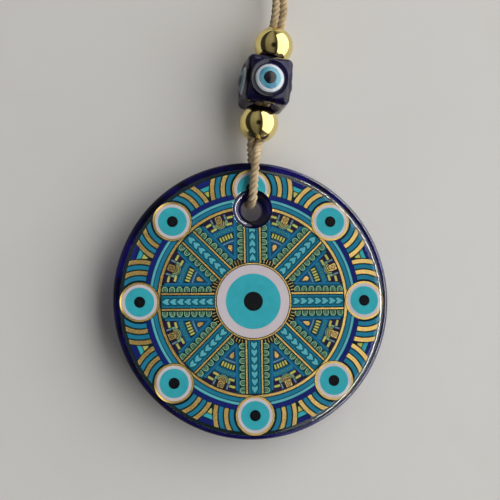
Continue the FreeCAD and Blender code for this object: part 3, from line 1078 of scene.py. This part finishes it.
def makeInkPaint(ink, colour):
    if ink == "goldFoil":
        return newPaint(
            "goldFoil", unevenCoat,
            {"Main": srgb(230, 200, 122), "Worn": srgb(196, 162, 92), "Scale": 420.0, "Patchiness": 0.25,
             "Smooth": 0.2, "Rough": 0.3},
            {"Metallic": 1.0}, bump=0.015, bumpDepth=0.02 * mm,
        )
    wear = 0.94 if ink == "white" else 0.8
    worn = (*[value * wear for value in colour[:3]], 1)
    return newPaint(
        "ink" + ink.title(), unevenCoat,
        {"Main": colour, "Worn": worn, "Scale": 360.0, "Patchiness": 0.45, "Smooth": 0.4, "Rough": 0.6},
        {"Specular IOR Level": 0.05}, bump=0.1, bumpDepth=0.01 * mm,
    )


def printFilm():
    printSpoke()
    repeatSectors()
    printTriangle()
    printGap()
    repeatSectors(border["halfSector"])
    printBorder()
    printEye(smallEye, (border["eye"], 0))
    repeatSectors()
    printRings()
    unspun = Matrix.Rotation(-radians(film["spin"]), 2)
    offset = unspun @ Vector(((holeSpot.x - filmMiddle.x) / mm, (holeSpot.z - filmMiddle.z) / mm))
    inks = []
    for ink, pieces in done.items():
        sheet = openHole(joined("ink" + ink[0].upper() + ink[1:], pieces), offset, mouthRadius / mm)
        faceUp(sheet)
        standUp(sheet)
        inks.append(dress(sheet, makeInkPaint(ink, inkColours.get(ink))))
    front = filmHigh.y - film["plate"]
    base = roundPlate("filmBase", filmMiddle, filmRadius, front, filmHigh.y, coat["sides"])
    drill(base, mouthDrill("filmDrill", filmLow.y, filmHigh.y))
    shadeSmooth(base)
    dress(base, makeInkPaint("base", inkColours["night"]))
    return base, inks


filmBase, inkSheets = printFilm()
print("film printed with", len(inkSheets), "inks")

# gold beads
bead = dict(radius=6.55 * mm, wall=0.9 * mm, boreRadius=3.0 * mm, lip=0.22 * mm, segments=72, rings=48)
stringWay = Vector(joints["cube_turn"]["axis"]).normalized()
stringTurn = Vector((0, 0, 1)).rotation_difference(stringWay).to_matrix().to_4x4()


def middleOf(node):
    low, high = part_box(node)
    return (low + high) / 2


def standOn(piece, middle, turn):  # from its own axis on to the string
    piece.data.transform(Matrix.Translation(middle) @ turn)
    return piece


def makeBead(name, node):  # a ball opened at both ends, given its wall and a soft lip
    deselectAll()
    bpy.ops.mesh.primitive_uv_sphere_add(
        segments=bead["segments"], ring_count=bead["rings"], radius=bead["radius"],
    )
    ball = newest(name)
    rise = sqrt(bead["radius"] ** 2 - bead["boreRadius"] ** 2)
    toEdit()
    for side in (1, -1):
        pickAll()
        bpy.ops.mesh.bisect(
            plane_co=(0, 0, side * rise), plane_no=(0, 0, side), clear_outer=True, threshold=1e-6,
        )
    toObject()
    fixNormals(ball)
    runModifier(ball, "SOLIDIFY", thickness=bead["wall"], offset=-1, use_even_offset=True)
    runModifier(
        ball, "BEVEL", width=bead["lip"], segments=3, limit_method="ANGLE", angle_limit=radians(35),
    )
    shadeSmooth(ball, 60)
    return dress(standOn(ball, middleOf(node), stringTurn), goldPaint)


lowerBead = makeBead("lowerGoldBead", "lower_gold_bead")
upperBead = makeBead("upperGoldBead", "upper_gold_bead")
print("beads turned")

# glass cube with its moulded rings, and the glass dots melted on to it
cube = dict(
    width=15.25 * mm, height=15.85 * mm, round=2.1 * mm, cuts=47, tilt=6.7, pitch=3.2, yaw=2.2,
    boreRadius=3.5 * mm, dishRadius=7.95 * mm, dishReach=13.41 * mm,
    drillTurn=0.037,  # keeps the drills' corners off the block's grid
    weld=0.004 * mm,
    ringRadius=6.3 * mm, ringWidth=0.55 * mm, ringHeight=0.22 * mm,
    moat=0.4 * mm, moatGap=0.3 * mm, moatWidth=0.5 * mm,
    sideBand=0.35 * mm,  # how deep under a side a point still counts as on it
)
eye = dict(  # foot is where a dot starts and rise where it ends, out from the cube's side
    white=dict(radius=4.85 * mm, rise=0.8 * mm, foot=-0.5 * mm, wobble=0.008),
    blue=dict(radius=3.85 * mm, rise=0.98 * mm, foot=0.1 * mm, wobble=0.012),
    pupil=dict(radius=2.35 * mm, rise=1.5 * mm, foot=0.2 * mm, wobble=0.02),
)
cubeMiddle = middleOf("glass_cube")
cubeTurn = (
    Matrix.Rotation(radians(cube["tilt"]), 4, "Y")
    @ Matrix.Rotation(-radians(cube["pitch"]), 4, "X")
    @ Matrix.Rotation(radians(cube["yaw"]), 4, "Z")
)


def shapeCube(block):  # rounds the edges, and raises a ring and sinks a moat round each eye
    half = Vector((cube["width"] / 2, cube["width"] / 2, cube["height"] / 2))
    core = half - Vector((1, 1, 1)) * cube["round"]
    for vertex in block.data.vertices:
        spot = Vector([value * 2 * size for value, size in zip(vertex.co, half)])
        inner = Vector([max(-limit, min(limit, value)) for value, limit in zip(spot, core)])
        spot = inner + (spot - inner).normalized() * cube["round"]
        for axis, across in ((0, 1), (1, 0)):
            if abs(spot[axis]) > half[axis] - cube["sideBand"]:
                side = copysign(1, spot[axis])
                reach = hypot(spot[across], spot.z)
                ring = exp(-(((reach - cube["ringRadius"]) / cube["ringWidth"]) ** 2)) * cube["ringHeight"]
                moatReach = reach - eye["white"]["radius"] - cube["moatGap"]
                moat = exp(-((moatReach / cube["moatWidth"]) ** 2)) * cube["moat"]
                spot[axis] += side * (ring - moat)
        vertex.co = spot


def makeCube():
    deselectAll()
    bpy.ops.mesh.primitive_cube_add(size=1)
    block = newest("glassCube")
    toEdit()
    pickAll()
    bpy.ops.mesh.subdivide(number_cuts=cube["cuts"])
    toObject()
    shapeCube(block)
    deselectAll()
    turned = (0, 0, cube["drillTurn"])
    bpy.ops.mesh.primitive_cylinder_add(
        vertices=50, radius=cube["boreRadius"], depth=cube["height"] * 1.5, rotation=turned,
    )
    drill(block, settle(bpy.context.object))
    for side in (1, -1):  # a dish for each bead
        deselectAll()
        spot = (0, 0, side * cube["dishReach"])
        bpy.ops.mesh.primitive_uv_sphere_add(
            segments=74, ring_count=48, radius=cube["dishRadius"], location=spot, rotation=turned,
        )
        drill(block, settle(bpy.context.object))
    editAll(block)
    bpy.ops.mesh.remove_doubles(threshold=cube["weld"])
    toObject()
    shadeSmooth(block, 50)
    return dress(standOn(block, cubeMiddle, cubeTurn), cubePaint)


def makeDot(name, size, paint, quarter):  # a dome of glass melted on to one side
    radius, rise, foot, wobble = size["radius"], size["rise"], size["foot"], size["wobble"]
    deselectAll()
    bpy.ops.mesh.primitive_uv_sphere_add(segments=64, ring_count=32, radius=radius)
    dome = newest(name)
    toEdit()
    pickAll()
    bpy.ops.mesh.bisect(plane_co=(0, 0, 0), plane_no=(0, 0, -1), clear_outer=True, use_fill=True)
    toObject()
    phase = random.uniform(0, fullTurn)
    for vertex in dome.data.vertices:
        angle = atan2(vertex.co.y, vertex.co.x)
        stretch = 1 + wobble * sin(2 * angle + phase) + 0.5 * wobble * sin(5 * angle + 2 * phase)
        height = vertex.co.z / radius
        vertex.co.x *= stretch
        vertex.co.y *= stretch
        vertex.co.z = foot + (rise - foot) * height ** 0.8 if height > 1e-6 else foot
    fixNormals(dome)
    out = Matrix.Translation((0, -cube["width"] / 2, 0)) @ Matrix.Rotation(radians(90), 4, "X")
    dome.data.transform(Matrix.Rotation(radians(90 * quarter), 4, "Z") @ out)
    shadeSmooth(dome, 50)
    return dress(standOn(dome, cubeMiddle, cubeTurn), paint)


glassCube = makeCube()
dots = {}
for quarter, side in enumerate(("front", "right", "back", "left")):
    for layer, paint in (("white", whitePaint), ("blue", bluePaint), ("pupil", blackPaint)):
        dots[f"{side}_eye_{layer}"] = makeDot(side + "Eye" + layer.title(), eye[layer], paint, quarter)
print("cube and eyes made")

# wall and light
room = dict(
    wallGap=0.3 * mm, wallSize=6.0, wallColour=srgb(232, 231, 229), wallWorn=srgb(222, 219, 213),
    lampRise=5.0, lampDistance=1.2, lampColour=(1.0, 0.99, 0.97), lampDrop=-0.08,
    window=dict(degrees=54.0, width=1.9, height=3.6, power=35.0),
    strip=dict(degrees=40.0, width=0.2, height=2.4, power=32.0),
    paleRoom=srgb(205, 203, 199),
    shades=[  # degrees from the front and how light the room is there
        (-180, 0.55), (-125, 0.4), (-110, 0.04), (-62, 0.03), (-54, 0.22), (-20, 0.28),
        (-6, 0.2), (2, 0.06), (16, 0.06), (60, 0.3), (100, 0.55), (180, 0.55),
    ],
)


def makeWall():
    deselectAll()
    bpy.ops.mesh.primitive_grid_add(
        x_subdivisions=2, y_subdivisions=2, size=room["wallSize"],
        location=(0, cadBox[1].y + room["wallGap"], 0), rotation=(pi / 2, 0, 0),
    )
    wall = settle(newest("wall"))
    paint = newPaint(
        "wallPaint", unevenCoat,
        {"Main": room["wallColour"], "Worn": room["wallWorn"], "Scale": 12.0, "Patchiness": 0.3,
         "Smooth": 0.8, "Rough": 0.9},
        {"Specular IOR Level": 0.2},
    )
    tree = paint.node_tree
    rays = tree.nodes.new("ShaderNodeLightPath").outputs
    side = tree.nodes.new("ShaderNodeNewGeometry")
    clear = tree.nodes.new("ShaderNodeBsdfTransparent")
    passing = sums(tree, "MAXIMUM", rays["Is Shadow Ray"], rays["Is Diffuse Ray"])
    share = sums(tree, "MAXIMUM", passing, side.outputs["Backfacing"])
    shader, output = tree.nodes["Principled BSDF"], tree.nodes["Material Output"]
    mixShaders(tree, share, shader.outputs["BSDF"], clear.outputs["BSDF"], output.inputs["Surface"])
    return dress(wall, paint)


def makeLamp(name, degrees, width, height, power):
    way = wayOut(degrees, room["lampRise"])
    light = bpy.data.lights.new(name, "AREA")
    light.shape, light.size, light.size_y = "RECTANGLE", width, height
    light.energy, light.color = power, room["lampColour"]
    lamp = addObject(name, light)
    lamp.location = way * room["lampDistance"] + Vector((0, 0, room["lampDrop"]))
    lamp.rotation_mode = "QUATERNION"
    lamp.rotation_quaternion = way.to_track_quat("Z", "Y")
    return lamp


def makeRoom():  # what the gloss mirrors: dim to the left, a dark doorway, pale behind the wall
    world = bpy.data.worlds.new("room")
    bpy.context.scene.world = world
    world.use_nodes = True
    tree = world.node_tree
    place = tree.nodes.new("ShaderNodeTexCoord").outputs["Generated"]
    split = tree.nodes.new("ShaderNodeSeparateXYZ")
    wire(tree, (place, split.inputs[0]))
    turn = sums(tree, "ARCTAN2", split.outputs["X"], sums(tree, "MULTIPLY", split.outputs["Y"], -1.0))
    ramp = tree.nodes.new("ShaderNodeValToRGB")
    wire(tree, (spread(tree, turn, -pi, pi), ramp.inputs["Fac"]))
    for number, (degrees, shade) in enumerate(room["shades"]):
        spot = (degrees + 180) / 360
        stop = ramp.color_ramp.elements[number] if number < 2 else ramp.color_ramp.elements.new(spot)
        stop.position, stop.color = spot, (shade, shade * 0.98, shade * 0.95, 1)
    facing = tree.nodes.new("ShaderNodeVectorMath")
    facing.operation = "DOT_PRODUCT"
    lensTurn = radians(view["turn"])
    facing.inputs[1].default_value = (sin(lensTurn), -cos(lensTurn), -0.1)
    wire(tree, (place, facing.inputs[0]))
    shadow = spread(tree, facing.outputs["Value"], 0.955, 0.99, 1.0, 0.1)
    height = spread(tree, split.outputs["Z"], -1.0, 0.5, 0.45, 1.1)
    rays = tree.nodes.new("ShaderNodeLightPath").outputs
    seen, felt = tree.nodes["Background"], tree.nodes.new("ShaderNodeBackground")
    seen.inputs["Color"].default_value = room["paleRoom"]
    strength = sums(tree, "MULTIPLY", shadow, height)
    wire(tree, (ramp.outputs["Color"], felt.inputs["Color"]), (strength, felt.inputs["Strength"]))
    felt, seen = felt.outputs["Background"], seen.outputs["Background"]
    mixShaders(tree, rays["Is Camera Ray"], felt, seen, tree.nodes["World Output"].inputs["Surface"])


wall = makeWall()
makeLamp("window", **room["window"])
strip = makeLamp("strip", **room["strip"])
strip.visible_diffuse = False  # it only draws the bright line on the resin's edge
strip.visible_transmission = False
edgeGloss = bpy.data.collections.new("edgeGloss")
for piece in (resinCoat, glassDisc):
    edgeGloss.objects.link(piece)
strip.light_linking.receiver_collection = edgeGloss
makeRoom()
bpy.context.scene.view_settings.view_transform = "Standard"
print("room lit")

# what each piece rides on and stands for
riders = [
    (glassDisc, "disc", "cobalt_glass", ["glass_disc"]),
    (resinCoat, "disc", "clear_resin", ["resin_coat"]),
    (filmBase, "disc", "printed_film", ["printed_film"]),
    (lowerBead, "lower_bead", "gold_metal", ["lower_gold_bead"]),
    (upperBead, "upper_bead", "gold_metal", ["upper_gold_bead"]),
    (glassCube, "cube", "cobalt_glass", ["glass_cube"]),
    (hangingTwine, "cord", "jute_twine", ["hanging_cord"]),
    (endKnot, "cord", "jute_twine", ["end_knot", "cord_tail_left", "cord_tail_right"]),
]
riders += [(sheet, "disc", "printed_film", []) for sheet in inkSheets]
dotSlots = {"white": "white_glass", "blue": "blue_glass", "pupil": "black_glass"}
riders += [(dot, "cube", dotSlots[node.split("_")[-1]], [node]) for node, dot in dots.items()]
for piece, body, slotName, stands in riders:
    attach(piece, body)
    if stands:
        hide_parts(*stands)
print("pieces ride on their bodies")
